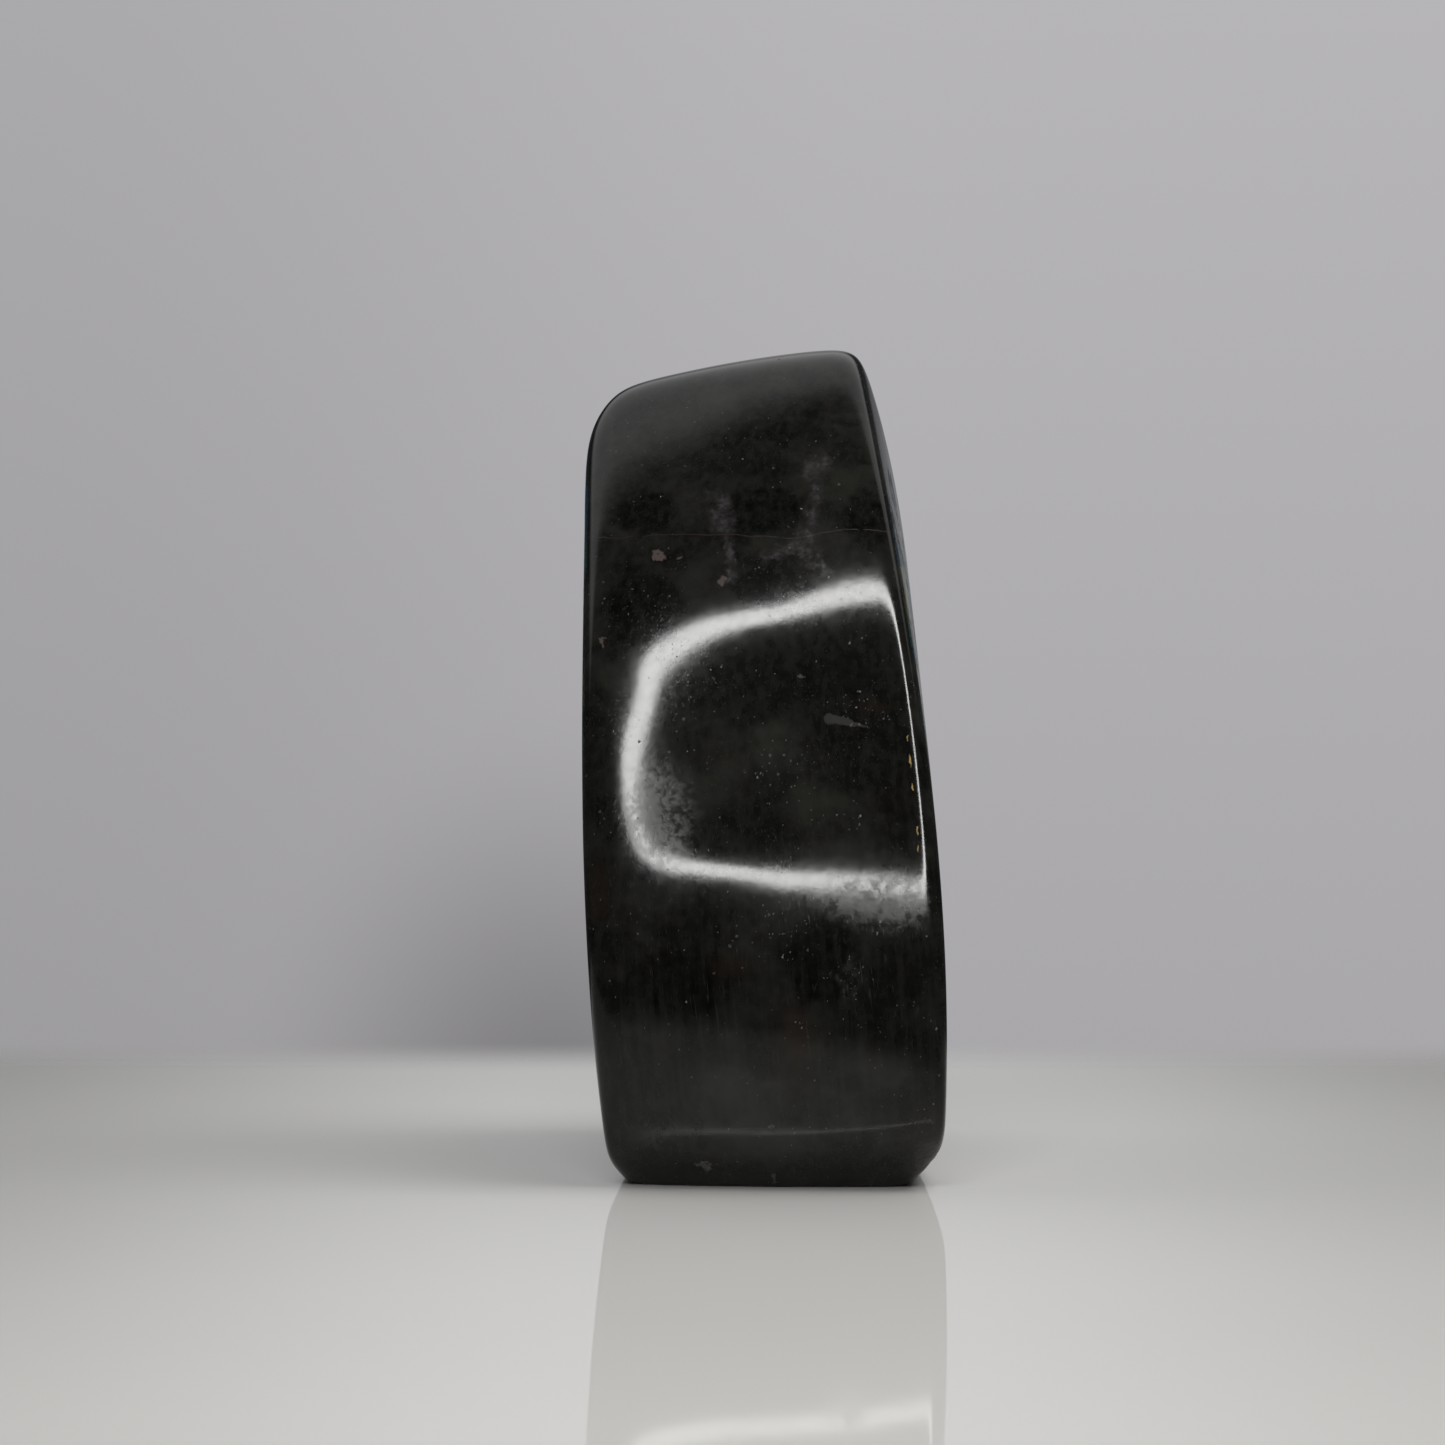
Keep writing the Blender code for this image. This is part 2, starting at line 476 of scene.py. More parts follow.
def noise(place, size, detail=3.0, roughness=0.55, take=0):
    """Fractal noise whose patches are about size millimetres across."""
    sockets = {"Vector": place, "Scale": 1.0 / size, "Detail": detail, "Roughness": roughness}
    return place.node("ShaderNodeTexNoise", {}, sockets, take)


def cells(place, size, feature="F1", randomness=1.0, take=0):
    """Voronoi cells about size millimetres across: 0 gives distance, 1 a colour for each cell."""
    return place.node("ShaderNodeTexVoronoi", {"feature": feature},
                      {"Vector": place, "Scale": 1.0 / size, "Randomness": randomness}, take)


def stretched(place, sizes, turn=(0.0, 0.0, 0.0), centre=(0.0, 0.0, 0.0)):
    """The place from a centre, after a turn in degrees, divided by a size along each axis."""
    sockets = {"Vector": place, "Location": centre, "Scale": sizes,
               "Rotation": tuple(math.radians(a) for a in turn)}
    return place.node("ShaderNodeMapping", {"vector_type": "TEXTURE"}, sockets)


# %% [markdown]
# ## Inside the stone
#
# Labradorite is a dark feldspar. It is slightly clear, so the eye meets grey-green clouds and
# black patches at different depths, and seams of paler mineral where the rock once cracked and
# healed. All of this runs through the block, so the finish reads the place inside the stone, in
# millimetres, and the grinding simply cuts through it. A flat picture wrapped round the stone
# would show seams and stretching.

# %% The material and its coordinates
finish = bpy.data.materials.new("labradorite_polished")
finish.use_nodes = True
tree = finish.node_tree
shader = tree.nodes["Principled BSDF"]
coordinates = tree.nodes.new("ShaderNodeTexCoord")
metres = Strand(tree, coordinates.outputs["Object"])
place = vector_math("SCALE", metres, Scale=1.0 / MM)
unsteady = noise(place, 5.0, detail=4.0, take=1)
jitter = vector_math("SUBTRACT", unsteady, (0.5, 0.5, 0.5))
warped = vector_math("ADD", place, vector_math("SCALE", jitter, Scale=3.4))
fine_jitter = vector_math("SUBTRACT", noise(place, 0.9, detail=3.0, take=1), (0.5, 0.5, 0.5))
ragged = vector_math("ADD", place, vector_math("SCALE", fine_jitter, Scale=0.9))
dust_jitter = vector_math("SUBTRACT", noise(place, 0.24, detail=2.0, take=1), (0.5, 0.5, 0.5))
dusty = vector_math("ADD", place, vector_math("SCALE", dust_jitter, Scale=0.42))
broken = vector_math("ADD", place, vector_math("SCALE", fine_jitter, Scale=2.2))
print(f"places, plain and jittered: {len(tree.nodes)} nodes")


def patch(where, centre, sizes, soft=0.6, turn=(0.0, 0.0, 0.0)):
    """1 inside an ellipsoid and 0 outside it, with an eased edge soft wide (1 is the radius)."""
    away = vector_math("LENGTH", stretched(where, sizes, turn, centre), take=1)
    return between(away, 1.0, 1.0 - soft)


def largest(masks):
    """Where masks overlap, the strongest one counts."""
    whole = masks[0]
    for mask in masks[1:]:
        whole = whole.math("MAXIMUM", mask)
    return whole


# %% Clouds and black patches: centres and radii
broad = noise(warped, 13.0, detail=3.0, roughness=0.5)
middling = noise(warped, 4.2, detail=4.0, roughness=0.6)
cloudiness = between(broad * 0.62 + middling * 0.38, 0.40, 0.66)
CLOUDS = (
    ((-4.0, -41.0, 13.5), (9.0, 9.0, 6.5)), ((16.0, -42.0, 16.0), (8.5, 9.0, 5.0)),
    ((-15.0, -36.0, 54.0), (7.0, 9.0, 8.0)), ((2.0, -38.0, 57.0), (4.0, 9.0, 7.5)),
    ((6.5, -40.0, 50.0), (6.0, 9.0, 5.0)), ((-20.0, -16.0, 96.0), (7.0, 9.0, 7.0)),
)
DARKS = (
    ((2.0, -18.0, 89.0), (6.5, 9.0, 5.0)), ((0.5, -26.0, 79.0), (6.0, 8.0, 3.6)),
    ((-15.5, -25.0, 76.0), (7.5, 9.0, 6.5)), ((-10.0, -42.0, 27.0), (9.0, 9.0, 5.5)),
    ((8.0, -43.0, 30.0), (6.0, 9.0, 7.0)), ((15.0, -20.0, 88.0), (5.0, 9.0, 6.0)),
    ((-16.0, -18.0, 90.0), (6.0, 9.0, 4.0)),
)
clouds = largest([patch(warped, centre, sizes, soft=0.9) for centre, sizes in CLOUDS])
darks = largest([patch(warped, centre, sizes, soft=0.7) for centre, sizes in DARKS])
shade = between(cloudiness * 0.52 + clouds * 0.48 - darks * 0.66, -0.20, 0.95)
print(f"clouds: {len(CLOUDS)}, black patches: {len(DARKS)}")

# %% The body's colours, its mottling and its upright streaks
BODY = (0.0108, 0.0106, 0.0092, 1.0)
BLACK = (0.0022, 0.0022, 0.0020, 1.0)
CLOUD = (0.0270, 0.0266, 0.0222, 1.0)
BODY_STOPS = ((0.0, BLACK), (0.42, BODY), (1.0, CLOUD))
body = shade.node("ShaderNodeValToRGB", {"stops": BODY_STOPS}, {0: shade})
mottle = between(noise(ragged, 1.3, detail=3.0), 0.35, 0.75)
body = mix_colour(mottle * 0.20, body, CLOUD)
upright = noise(stretched(place, (1.0, 1.0, 14.0), (0.0, -4.0, 0.0)), 1.0, detail=4.0)
body = mix_colour(between(upright, 0.38, 0.76) * 0.30, body, CLOUD)
print(f"body: {len(BODY_STOPS)} tones")

# %% Rust that has crept in
RUST_TINT = (0.019, 0.0115, 0.0075, 1.0)
RUSTS = (
    ((-4.0, -42.0, 29.0), (5.0, 8.0, 3.0)), ((4.5, -43.0, 19.0), (3.8, 8.0, 9.0)),
    ((-21.0, -37.0, 39.0), (2.6, 8.0, 7.0)), ((21.5, -42.0, 8.0), (4.0, 8.0, 5.5)),
    ((-7.0, -19.0, 97.0), (4.5, 8.0, 1.6)), ((15.0, -36.0, 63.0), (3.5, 8.0, 1.8)),
)
rusts = largest([patch(warped, centre, sizes, soft=0.95) for centre, sizes in RUSTS])
rust_seed = between(noise(warped, 9.0, detail=4.0, roughness=0.62), 0.60, 0.74)
body = mix_colour(largest([rusts * 0.50, rust_seed * 0.30]), body, RUST_TINT)
print(f"rust: {len(RUSTS)} tinted places")

# %% [markdown]
# ## Veins, a crack and flecks
#
# A healed vein is a pale upright sheet that wanders, so each is the distance to a few straight
# stretches, the same at every depth and measured from a warped place. The rust-coloured hairline
# is a crack through the whole block: one wavy level sheet, which shows as a line wherever the
# grinding cuts it. Flecks are small inclusions with broken outlines.

# %% A straight stretch
def along(where, start, end, width, end_width=None):
    """1 on a straight stretch in (x, z), the same at every depth, fading out over its width.

    With an end width it is a crisp wedge instead, which narrows from the one to the other.
    """
    start = np.array([start[0], 0.0, start[1]])
    run = np.array([end[0], 0.0, end[1]]) - start
    offset = vector_math("MULTIPLY", vector_math("SUBTRACT", where, tuple(start)), (1.0, 0.0, 1.0))
    share = vector_math("DOT_PRODUCT", offset, tuple(run / (run @ run)), take=1)
    share = share.node("ShaderNodeClamp", {}, {0: share, 1: 0.0, 2: 1.0})
    on_line = share.node("ShaderNodeVectorMath", {"operation": "SCALE"}, {0: tuple(run), "Scale": share})
    away = vector_math("LENGTH", vector_math("SUBTRACT", offset, on_line), take=1)
    if end_width is None:
        return between(away, width, 0.0)
    return between(away - width - share * (end_width - width), 0.12, -0.12)


# %% Veins
VEIN_STRETCHES = (
    ((8.8, 96.6), (7.6, 95.2), 2.0), ((8.4, 96.0), (7.4, 91.0), 1.0), ((7.4, 91.0), (6.8, 88.0), 1.6),
    ((6.8, 88.0), (5.4, 85.0), 1.8), ((5.4, 85.0), (0.9, 83.6), 1.3), ((5.4, 85.0), (9.0, 81.0), 1.4),
    ((-5.6, 91.5), (-4.7, 88.0), 2.4), ((-4.5, 87.0), (-3.9, 80.0), 0.9),
)
wandering = vector_math("ADD", warped, vector_math("SCALE", fine_jitter, Scale=1.8))
veins = largest([along(wandering, start, end, width) for start, end, width in VEIN_STRETCHES])
vein_grain = between(noise(ragged, 0.8, detail=4.0, roughness=0.7), 0.36, 0.62)
vein_breaks = between(noise(place, 2.2, detail=3.0), 0.36, 0.62)
web = cells(warped, 11.0, "DISTANCE_TO_EDGE")
web_where = between(noise(place, 15.0, detail=2.0), 0.52, 0.68)
web_vein = between(web, 0.035, 0.004) * web_where
vein_mask = largest([veins * (vein_grain * 0.6 + 0.3) * (vein_breaks * 0.8 + 0.2), web_vein * 0.04])
VEIN = (0.060, 0.055, 0.057, 1.0)
colour = mix_colour(vein_mask, body, VEIN)
print(f"veins: {len(VEIN_STRETCHES)} stretches")

# %% The hairline crack
CRACK_LEVEL = 86.2
CRACK_WANDER = 4.0
back_axis = place.node("ShaderNodeSeparateXYZ", {}, {0: place}, take=1)
up_axis = place.node("ShaderNodeSeparateXYZ", {}, {0: place}, take=2)
sheet_wander = (noise(place, 16.0, detail=4.0, roughness=0.5) - 0.5) * CRACK_WANDER
sheet_away = (up_axis - CRACK_LEVEL - sheet_wander).math("ABSOLUTE")
crack_presence = between(noise(place, 3.0, detail=2.0), 0.34, 0.50)
crack = between(sheet_away, 0.12, 0.02) * crack_presence
RUST_LINE = (0.030, 0.019, 0.016, 1.0)
colour = mix_colour(crack * 0.70, colour, RUST_LINE)
print(f"crack: about {CRACK_LEVEL:.1f} mm up, at most {0.5 * CRACK_WANDER:.0f} mm higher or lower")

# %% Flecks: centre, radii and turn
PINK_FLECKS = (
    ((-13.5, -20.5, 83.5), (1.15, 2.2, 0.62), 30.0), ((-10.6, -21.0, 83.1), (0.4, 1.5, 0.35), 0.0),
    ((-4.9, -24.5, 79.9), (0.62, 2.2, 0.95), -20.0), ((-20.9, -25.5, 71.8), (0.45, 2.2, 1.1), -25.0),
)


def broken_patches(flecks):
    """Flecks with broken outlines, each turned in degrees about the axis from front to back."""
    return largest([patch(broken, centre, sizes, 0.4, (0.0, turn, 0.0))
                    for centre, sizes, turn in flecks])


PINK = (0.100, 0.077, 0.069, 1.0)
colour = mix_colour(broken_patches(PINK_FLECKS) * 0.85, colour, PINK)

GREY_FLECKS = (
    ((5.4, -33.8, 67.0), (0.62, 2.0, 0.42), 20.0), ((1.4, -41.5, 8.5), (0.30, 1.6, 0.36), 0.0),
    ((1.9, -39.0, 1.1), (0.38, 2.4, 1.0), 8.0), ((-7.3, -39.0, 2.9), (1.5, 2.4, 0.5), 15.0),
)
wedge = along(ragged, (9.3, 61.6), (14.6, 60.3), 0.72, 0.0)
wedge = wedge * between(back_axis, -28.0, -32.0)
grey_flecks = largest([broken_patches(GREY_FLECKS), wedge * 0.55])
GREY = (0.078, 0.074, 0.069, 1.0)
colour = mix_colour(grey_flecks * 0.85, colour, GREY)
print(f"flecks: {len(PINK_FLECKS)} pink, {len(GREY_FLECKS)} grey and a wedge")

# %% [markdown]
# ## Specks, pits and scratches
#
# The polish is good but not perfect. Dust-fine white specks are grains that broke out and hold
# polishing powder, pits show black inside a highlight, and near-upright hair scratches are left by
# the last wheels. They gather where the stone is softer, so a broad noise decides how many.

# %% Specks and pits
crowd = between(noise(place, 11.0, detail=3.0), 0.40, 0.62)
SPECK_CROWDS = (
    ((11.5, -43.0, 27.5), (3.8, 6.0, 5.0)), ((4.0, -38.0, 55.0), (9.0, 8.0, 6.0)),
    ((14.0, -36.0, 63.0), (6.0, 6.0, 4.0)), ((3.0, -43.0, 33.0), (7.0, 6.0, 5.0)),
    ((-7.5, -39.0, 2.8), (3.0, 6.0, 1.2)), ((-11.0, -42.0, 30.0), (3.0, 6.0, 3.0)),
    ((6.0, -43.0, 21.0), (4.0, 6.0, 2.5)),
)
crowds = largest([patch(ragged, centre, sizes, 0.8) for centre, sizes in SPECK_CROWDS])
crowding = crowd * 0.16 + crowds * 0.74


def scatter(where, size, radius, share):
    """Dots of a given radius in a random share of cells: share is a strand or a number."""
    distance = cells(where, size)
    pick = cells(where, size, take=1)
    chance = pick.node("ShaderNodeSeparateColor", {}, {0: pick})
    chosen = chance.math("LESS_THAN", share)
    level = pick.node("ShaderNodeSeparateColor", {}, {0: pick}, take=1)
    limit = level * (0.75 * radius / size) + 0.35 * radius / size
    return limit.math("GREATER_THAN", distance) * chosen


long_place = stretched(dusty, (1.0, 1.0, 1.7), (0.0, 14.0, 0.0))
specks = scatter(long_place, 0.95, 0.115, crowding * 0.60 + 0.012)
fine_specks = scatter(long_place, 0.42, 0.078, crowding * 0.90 + 0.030)
speck_mask = largest([specks, fine_specks * 0.6])
SPECK = (0.160, 0.160, 0.148, 1.0)
colour = mix_colour(speck_mask * 0.8, colour, SPECK)
pits = scatter(dusty, 1.0, 0.19, crowding * 0.70 + 0.05)
print(f"specks: {len(SPECK_CROWDS)} crowds of them")

# %% Hair scratches
hair = noise(stretched(place, (0.20, 0.20, 10.0), (0.0, -7.0, 0.0)), 1.0, detail=2.0)
hair_crossed = noise(stretched(place, (0.24, 0.24, 7.0), (0.0, 18.0, 0.0)), 1.0, detail=2.0)
hair_line = largest([between(hair, 0.63, 0.72), between(hair_crossed, 0.67, 0.74)])
hair_line = hair_line * between(noise(place, 7.0, detail=2.0), 0.38, 0.60)
colour = mix_colour(hair_line * 0.75, colour, CLOUD)
print(f"scratches run two ways; {len(tree.nodes)} nodes so far")

# %% The dull places of the polish and the rough bevel
DULL_PLACES = (
    ((15.5, -42.5, 37.5), (11.0, 9.0, 5.2)), ((-12.6, -39.0, 49.5), (7.0, 9.0, 10.0)),
    ((11.5, -43.0, 27.5), (4.0, 8.0, 5.0)),
)
dulls = largest([patch(warped, centre, sizes, 0.95) for centre, sizes in DULL_PLACES])
rough_bevel = patch(warped, (22.6, -40.0, 3.0), (3.6, 30.0, 4.6), 0.55)
BEVEL_TONE = (0.034, 0.027, 0.023, 1.0)
bevel_grain = between(noise(ragged, 0.7, detail=4.0, roughness=0.7), 0.34, 0.66)
colour = mix_colour(rough_bevel * (bevel_grain * 0.6 + 0.3), colour, BEVEL_TONE)
print(f"dull places: {len(DULL_PLACES)} and the bevel")

# %% How rough the polish is
POLISH = 0.075
BEVEL_ROUGHNESS = 0.42
haze = between(noise(ragged, 1.1, detail=4.0, roughness=0.65), 0.38, 0.62)
low_haze = between(up_axis, 34.0, 14.0)
gloss = dulls * haze * 0.12 + dulls * 0.06 + haze * 0.02 + low_haze * 0.04 + POLISH
gloss = gloss + hair_line * 0.08 + pits * 0.40 + speck_mask * 0.30 + crack * 0.1 + vein_mask * 0.08
gloss = mix_value(rough_bevel, gloss, BEVEL_ROUGHNESS)
print(f"roughness: {POLISH} where the polish is best, {BEVEL_ROUGHNESS} on the bevel")

# %% [markdown]
# ## The flash
#
# Labradorite is loved for its flash: thin layers inside the crystal send back blue, green or gold
# from one direction only. The layers lie nearly parallel to the two broad faces, so the flash
# belongs there, and the narrow edges stay dark. Most of it is a coloured mirror below the polish: a
# layer that is up to 85 per cent metal, turned differently in each crystal by up to some 20 degrees,
# under a clear coat that keeps the outer polish. The share that is not metal is painted sheen, a
# faint tint of the flash colour seen from every side; painting all of it would glow from every side.

# %% Where the flash shows
NO_FLASH = 0.86
FULL_FLASH = 0.975
surface = metres.node("ShaderNodeNewGeometry", {}, {}, take=1)
facing = surface.node("ShaderNodeSeparateXYZ", {}, {0: surface})
broad_face = between(facing.math("ABSOLUTE"), NO_FLASH, FULL_FLASH) * between(back_axis, -38.0, -20.0)
sheen_field = noise(warped, 24.0, detail=3.0, roughness=0.5)
lamellae = noise(stretched(warped, (9.0, 7.0, 0.55), (26.0, 0.0, 0.0)), 1.0, detail=3.0, roughness=0.6)
crystal_tone = cells(warped, 12.0, take=1)
crystal_pick = crystal_tone.node("ShaderNodeSeparateColor", {}, {0: crystal_tone})
flash = between(sheen_field + (crystal_pick - 0.5) * 0.16 + (lamellae - 0.5) * 0.22, 0.47, 0.60)
flash = flash * broad_face * (1.0 - web_vein) * (1.0 - crack)
flash = flash * between(lamellae, 0.25, 0.55)
full_angle, no_angle = [math.degrees(math.acos(share)) for share in (FULL_FLASH, NO_FLASH)]
print(f"flash: full within {full_angle:.0f} degrees of square to the side, none past {no_angle:.0f}")

# %% The colours of the flash, partly painted sheen
hue = noise(warped, 19.0, detail=2.0, roughness=0.5) + (crystal_pick - 0.5) * 0.14
FLASH_STOPS = (
    (0.30, (0.012, 0.045, 0.200, 1.0)), (0.43, (0.020, 0.150, 0.330, 1.0)),
    (0.52, (0.040, 0.240, 0.200, 1.0)), (0.60, (0.300, 0.270, 0.060, 1.0)),
    (0.72, (0.330, 0.150, 0.035, 1.0)),
)
flash_colour_and_painted_sheen = hue.node("ShaderNodeValToRGB", {"stops": FLASH_STOPS}, {0: hue})
print(f"flash colours: {len(FLASH_STOPS)}")

# %% Painted glints: gold specks by the right arris, where its highlight line catches the light
GOLD_GLINT_SPECKS = (
    ((19.8, -38.3, 56.0), (0.17, 1.6, 1.1)), ((20.1, -39.3, 52.5), (0.15, 1.6, 0.6)),
    ((20.6, -41.0, 47.0), (0.17, 1.6, 0.8)), ((19.5, -37.6, 59.0), (0.12, 1.6, 0.6)),
    ((20.7, -41.6, 44.6), (0.11, 1.6, 0.5)),
)
gold = largest([patch(ragged, centre, sizes, 0.4) for centre, sizes in GOLD_GLINT_SPECKS])
GLINT_GOLD = (0.42, 0.30, 0.11, 1.0)
# The flash colour goes into the base colour: under the metal it is a coloured mirror, and in the share
# that is not metal it is painted sheen.
colour = mix_colour(flash * 0.9, colour, flash_colour_and_painted_sheen)
# Painted glints: bright gold base colour in small specks along the right arris highlight.
colour = mix_colour(gold, colour, GLINT_GOLD)
print(f"gold specks: {len(GOLD_GLINT_SPECKS)}")

# %% How each crystal is turned
CRYSTAL_TURN = 0.55
crystal_turn = vector_math("SUBTRACT", crystal_tone, (0.5, 0.5, 0.5))
turned = vector_math("ADD", surface, vector_math("SCALE", crystal_turn, Scale=CRYSTAL_TURN))
turned = vector_math("NORMALIZE", turned)
facing_out = flash.node("ShaderNodeMix", {"data_type": "VECTOR"},
                        {0: between(flash, 0.0, 0.3), 4: surface, 5: turned}, take=1)
turn_angle = math.degrees(math.atan(0.5 * CRYSTAL_TURN * math.sqrt(2.0)))
print(f"crystals: turned by up to about {turn_angle:.0f} degrees")

# %% Depth of the marks, in millimetres
HAZE_GRAIN = 0.0006
DULL_GRAIN = 0.0018
SCRATCH_DEPTH = 0.0009
PIT_DEPTH = 0.016
SPECK_DEPTH = 0.005
CRACK_DEPTH = 0.002
BEVEL_GRAIN = 0.045
WHEEL_RIPPLE = 0.0030
depth_of_marks = (haze * HAZE_GRAIN + haze * dulls * DULL_GRAIN
                  - hair_line * SCRATCH_DEPTH - pits * PIT_DEPTH - specks * SPECK_DEPTH
                  - crack * CRACK_DEPTH + (bevel_grain - 0.5) * rough_bevel * BEVEL_GRAIN
                  + noise(place, 2.4, detail=2.0) * WHEEL_RIPPLE)
bump_sockets = {"Strength": 1.0, "Distance": MM, "Height": depth_of_marks, "Normal": facing_out}
bump = depth_of_marks.node("ShaderNodeBump", {}, bump_sockets)
print(f"deepest marks: pits {PIT_DEPTH} mm, grain of the bevel {BEVEL_GRAIN} mm")

# %% Into the shader
FLASH_ROUGHNESS = 0.36
FLASH_METAL = 0.85
COAT_ROUGHNESS = 0.06
SPECULAR_LEVEL = 0.23
LABRADORITE_IOR = 1.56


def join(strand, socket):
    """Link a strand to one of the stone shader's sockets."""
    strand.tree.links.new(strand.output, shader.inputs[socket])


join(colour, "Base Color")
join(mix_value(flash, gloss, FLASH_ROUGHNESS), "Roughness")
join(flash * FLASH_METAL, "Metallic")
join(flash, "Coat Weight")
join(bump, "Normal")
shader.inputs["IOR"].default_value = LABRADORITE_IOR
shader.inputs["Specular IOR Level"].default_value = SPECULAR_LEVEL
shader.inputs["Coat Roughness"].default_value = COAT_ROUGHNESS
shader.inputs["Coat IOR"].default_value = LABRADORITE_IOR
stone.data.materials.append(finish)
print(f"finish: {len(tree.nodes)} nodes")

# %% [markdown]
# ## The table
#
# The stone stands on a pale, glossy sheet whose front edge ends close by. The sheet is not only a
# floor: the foot of the stone reflects it, and where it ends the polish turns dark. Its rim fades
# out, so that it melts into the room instead of ending in a line.

# %% A pale sheet with a soft rim
TABLE_FRONT = -262.0
TABLE_BACK = 215.0
TABLE_SIDE = 900.0
BACK_FADE = 75.0
FRONT_FADE = 32.0


def plain_sheet(name, corners):
    """One flat face, from its corners in millimetres."""
    sheet_mesh = bpy.data.meshes.new(name)
    sheet_mesh.from_pydata((np.array(corners) * MM).tolist(), [], [(0, 1, 2, 3)])
    sheet = bpy.data.objects.new(name, sheet_mesh)
    bpy.context.collection.objects.link(sheet)
    return sheet


table = plain_sheet("table", ((-TABLE_SIDE, TABLE_FRONT, 0.0), (TABLE_SIDE, TABLE_FRONT, 0.0),
                              (TABLE_SIDE, TABLE_BACK, 0.0), (-TABLE_SIDE, TABLE_BACK, 0.0)))
table_finish = bpy.data.materials.new("pale_gloss_sheet")
table_finish.use_nodes = True
table_tree = table_finish.node_tree
table_shader = table_tree.nodes["Principled BSDF"]
table_coordinates = table_tree.nodes.new("ShaderNodeTexCoord")
table_metres = Strand(table_tree, table_coordinates.outputs["Object"])
table_place = vector_math("SCALE", table_metres, Scale=1.0 / MM)
across = table_place.node("ShaderNodeSeparateXYZ", {}, {0: table_place})
along_depth = table_place.node("ShaderNodeSeparateXYZ", {}, {0: table_place}, take=1)
table_alpha = between(along_depth, TABLE_BACK, TABLE_BACK - BACK_FADE)
table_alpha = table_alpha * between(along_depth, TABLE_FRONT, TABLE_FRONT + FRONT_FADE)
table_alpha = table_alpha * between(across.math("ABSOLUTE"), TABLE_SIDE, 0.6 * TABLE_SIDE)
table_tree.links.new(table_alpha.output, table_shader.inputs["Alpha"])
table_shader.inputs["Base Color"].default_value = (0.70, 0.69, 0.665, 1.0)
table_shader.inputs["Roughness"].default_value = 0.03
table_shader.inputs["IOR"].default_value = 1.16
table.data.materials.append(table_finish)
print(f"table: {2.0 * TABLE_SIDE:.0f} x {TABLE_BACK - TABLE_FRONT:.0f} mm")

# %% [markdown]
# ## The light
#
# The bright shape on the front edge is the reflection of a ring light above the camera: a rounded
# square strip, bent by the bulge of the stone into a D. A lamp object would reflect as a disc or a
# square, so the strip is a real glowing surface. It is what the polish shows, and nothing else:
# two broad lamps, kept out of the reflections, light the floor and the stone's depth. Behind and
# above, the room is pale; in front and low down it is dim, which is what keeps a black stone black.

# %% The ring light
RING_CENTRE = np.array([0.6, -340.0, 304.5])
RING_TARGET = np.array([0.0, -40.0, 50.0])
RING_RADIUS = 170.8
RING_WIDTH = 24.1
RING_STRETCH = 1.025
RING_SQUARENESS = 4.2
RING_POWER = 30.0
RING_STEPS = 192


def ring_grid():
    """Two superellipses: (|a|^p + |b|^p)^(1/p) = radius -+ half the width, in the ring's plane."""
    toward = RING_TARGET - RING_CENTRE
    toward /= np.linalg.norm(toward)
    side = np.array([1.0, 0.0, 0.0])
    rise = np.cross(toward, side)
    angle = np.linspace(0.0, 2.0 * math.pi, RING_STEPS, endpoint=False)
    c, s = np.cos(angle), np.sin(angle)
    size = (np.abs(c) ** RING_SQUARENESS + np.abs(s) ** RING_SQUARENESS) ** (-1.0 / RING_SQUARENESS)
    rims = []
    for radius in (RING_RADIUS - 0.5 * RING_WIDTH, RING_RADIUS + 0.5 * RING_WIDTH):
        a = (radius * RING_STRETCH * size * c)[:, None] * side
        b = (radius * size * s)[:, None] * rise
        rims.append(RING_CENTRE + a + b)
    return np.concatenate(rims)


place_on_ring = np.arange(RING_STEPS)
next_on_ring = (place_on_ring + 1) % RING_STEPS
ring_quads = np.stack([place_on_ring, next_on_ring,
                       RING_STEPS + next_on_ring, RING_STEPS + place_on_ring], axis=-1)
ring_mesh = bpy.data.meshes.new("ring_light")
ring_mesh.from_pydata((ring_grid() * MM).tolist(), [], ring_quads.tolist())
ring_light = bpy.data.objects.new("ring_light", ring_mesh)
bpy.context.collection.objects.link(ring_light)
ring_light.visible_camera = False
ring_light.visible_diffuse = False

glow = bpy.data.materials.new("ring_glow")
glow.use_nodes = True
glow_shader = glow.node_tree.nodes["Principled BSDF"]
glow_shader.inputs["Base Color"].default_value = (0.0, 0.0, 0.0, 1.0)
glow_shader.inputs["Specular IOR Level"].default_value = 0.0
glow_shader.inputs["Emission Color"].default_value = (1.0, 0.995, 0.985, 1.0)
glow_shader.inputs["Emission Strength"].default_value = RING_POWER
ring_light.data.materials.append(glow)
print(f"ring light: {2.0 * RING_RADIUS:.0f} mm across, strip {RING_WIDTH:.0f} mm wide")

# %% Broad lamps, kept out of the reflections
def broad_lamp(name, location, target, size, power):
    """A square lamp that faces a target, all in millimetres; the power is in watts."""
    data = bpy.data.lights.new(name, "AREA")
    data.size = size * MM
    data.energy = power
    lamp = bpy.data.objects.new(name, data)
    lamp.location = [c * MM for c in location]
    away = np.array(location) - np.array(target)
    lamp.rotation_euler = (math.atan2(math.hypot(away[0], away[1]), away[2]), 0.0,
                           math.atan2(away[0], -away[1]))
    lamp.visible_glossy = False
    bpy.context.collection.objects.link(lamp)
    return lamp


broad_lamp("high_right", (420.0, -120.0, 980.0), (0.0, 0.0, 40.0), 640.0, 6.0)
broad_lamp("high_front", (-120.0, -900.0, 900.0), (0.0, 0.0, 40.0), 500.0, 5.6)
print("lamps: 2, kept out of the reflections")

# %% [markdown]
# ## The room
#
# The room is painted on the world, so it needs no walls. What the polish sees is dim, with a pale
# panel overhead and a narrow pale strip behind. What the lens sees is a plain pale backdrop, a
# little darker low down and on the left, as a sweep of paper is where less light falls.

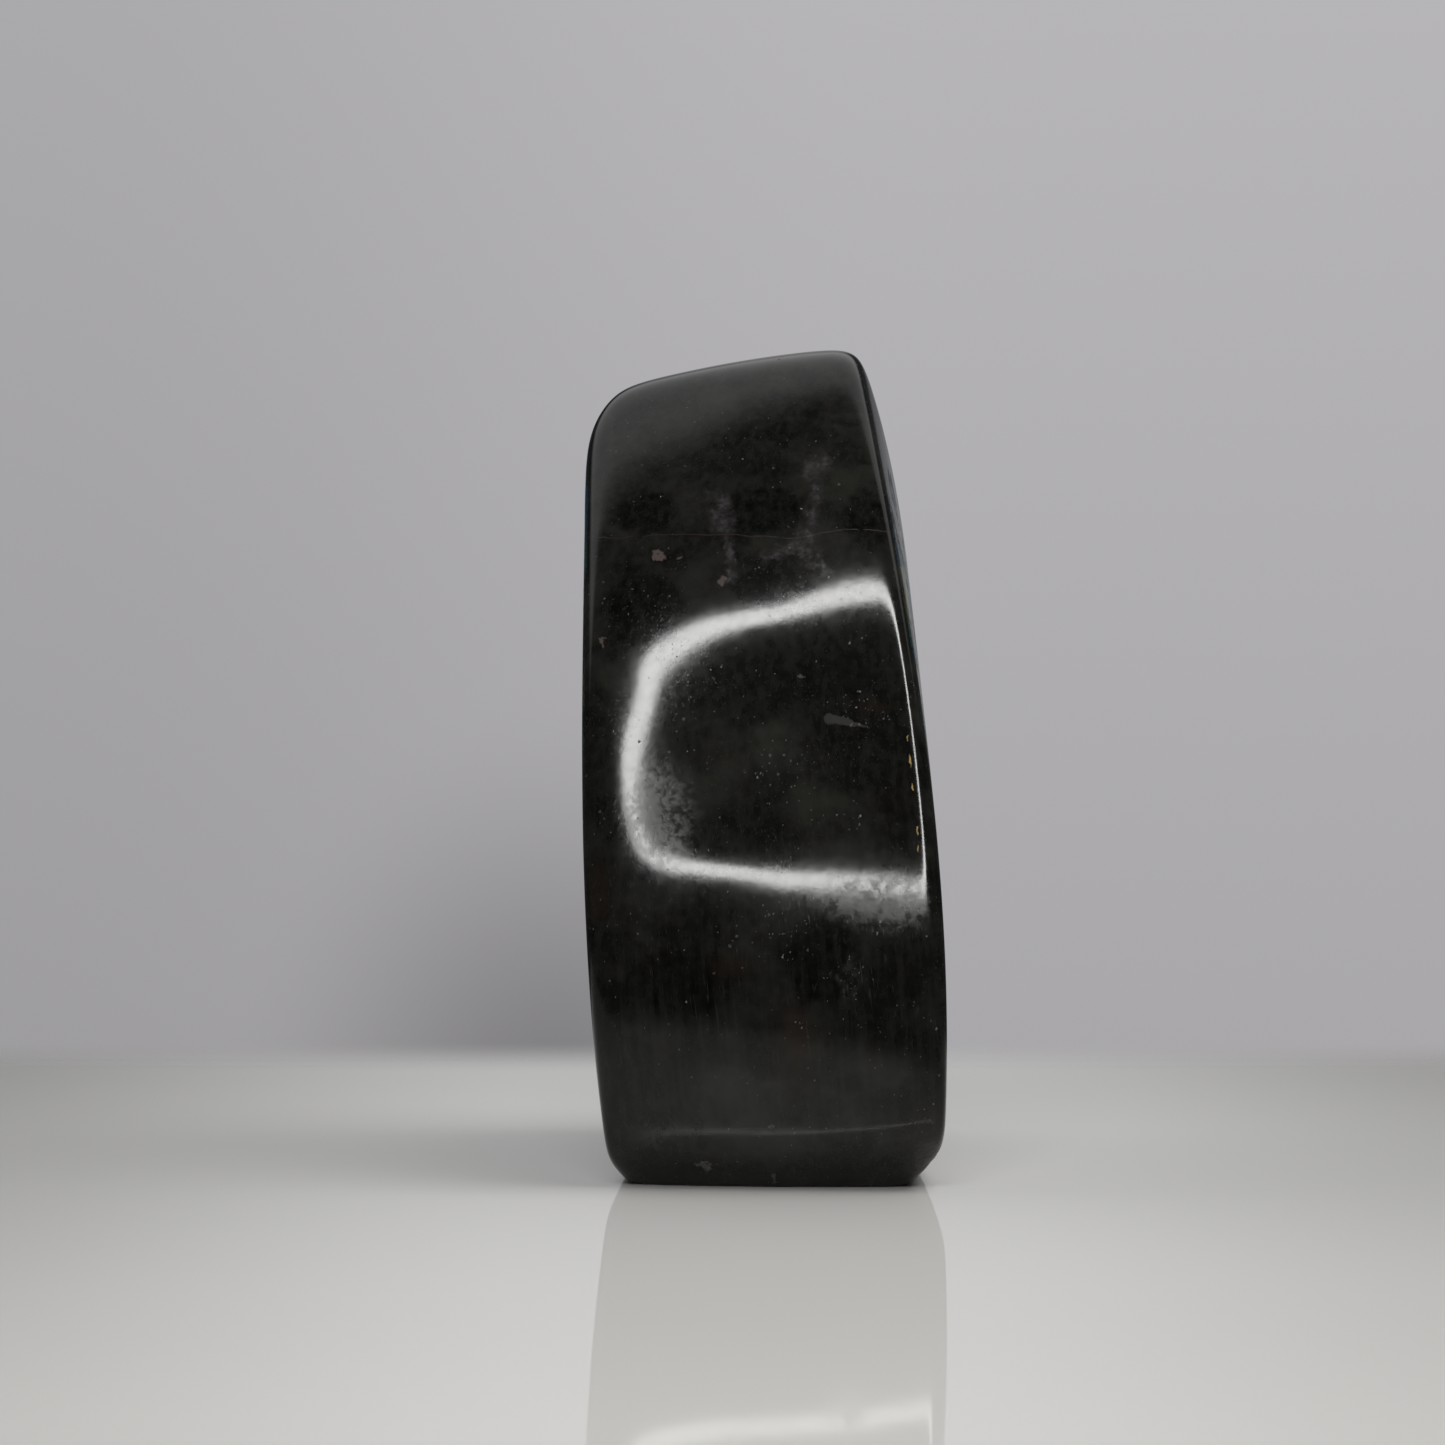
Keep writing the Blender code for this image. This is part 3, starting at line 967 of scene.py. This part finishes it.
# %% What the polish sees
world = bpy.data.worlds.new("pale_room")
world.use_nodes = True
room = world.node_tree
background = room.nodes["Background"]
sky = Strand(room, room.nodes.new("ShaderNodeTexCoord").outputs["Generated"])
sky_x = sky.node("ShaderNodeSeparateXYZ", {}, {0: sky})
sky_y = sky.node("ShaderNodeSeparateXYZ", {}, {0: sky}, take=1)
sky_z = sky.node("ShaderNodeSeparateXYZ", {}, {0: sky}, take=2)

overhead = between(sky_y - sky_z * sky_z * 0.05, -0.11, 0.05) * between(sky_z, 0.42, 0.62)
sideways = sky_x.math("ABSOLUTE")
behind = between(sideways, 0.20, 0.03) * between(sky_y, 0.5, 0.8) * between(sky_z, -0.06, 0.02)
DIM_ROOM = (0.026, 0.027, 0.030, 1.0)
PALE_PANEL = (0.92, 0.92, 0.93, 1.0)
PALE_BEHIND = (0.36, 0.36, 0.37, 1.0)
seen_in_polish = mix_colour(overhead, mix_colour(behind, DIM_ROOM, PALE_BEHIND), PALE_PANEL)

# %% What the lens sees
BACKDROP_STOPS = ((0.0, (0.50, 0.49, 0.475, 1.0)), (0.44, (0.385, 0.375, 0.385, 1.0)),
                  (0.50, (0.420, 0.410, 0.425, 1.0)), (0.60, (0.480, 0.470, 0.490, 1.0)),
                  (1.0, (0.50, 0.49, 0.50, 1.0)))
backdrop = sky.node("ShaderNodeValToRGB", {"stops": BACKDROP_STOPS}, {0: sky_z * 0.5 + 0.5})
shadow_place = stretched(sky, (0.085, 0.4, 0.105), centre=(-0.036, 1.0, -0.095))
soft_shadow = between(vector_math("LENGTH", shadow_place, take=1), 1.0, 0.0)
side_fall = between(sky_x, 0.05, -0.17)
backdrop = mix_colour(soft_shadow * 0.42 + side_fall * 0.14, backdrop, (0.0, 0.0, 0.0, 1.0))
seen_directly = Strand(room, room.nodes.new("ShaderNodeLightPath").outputs["Is Camera Ray"])
room.links.new(mix_colour(seen_directly, seen_in_polish, backdrop).output, background.inputs["Color"])
bpy.context.scene.world = world
print(f"room: {len(room.nodes)} nodes")

# %% [markdown]
# ## The camera
#
# A long lens, level and a little above half the stone's height, looks straight at the narrow front
# edge. Level matters: it keeps the upright edges upright.

# %% Camera
LENS = 104.4
CAMERA_PLACE = (-4.85, -587.44, 61.0)
lens_data = bpy.data.cameras.new("front_view")
lens_data.sensor_width = 36.0
lens_data.lens = LENS
camera = bpy.data.objects.new("front_view", lens_data)
camera.location = [c * MM for c in CAMERA_PLACE]
camera.rotation_euler = (math.radians(90.0), 0.0, 0.0)
bpy.context.collection.objects.link(camera)
bpy.context.scene.camera = camera
bpy.context.scene.view_settings.view_transform = "Standard"
print(f"camera: {LENS:.1f} mm lens, {-CAMERA_PLACE[1]:.0f} mm in front, {CAMERA_PLACE[2]:.0f} mm up")
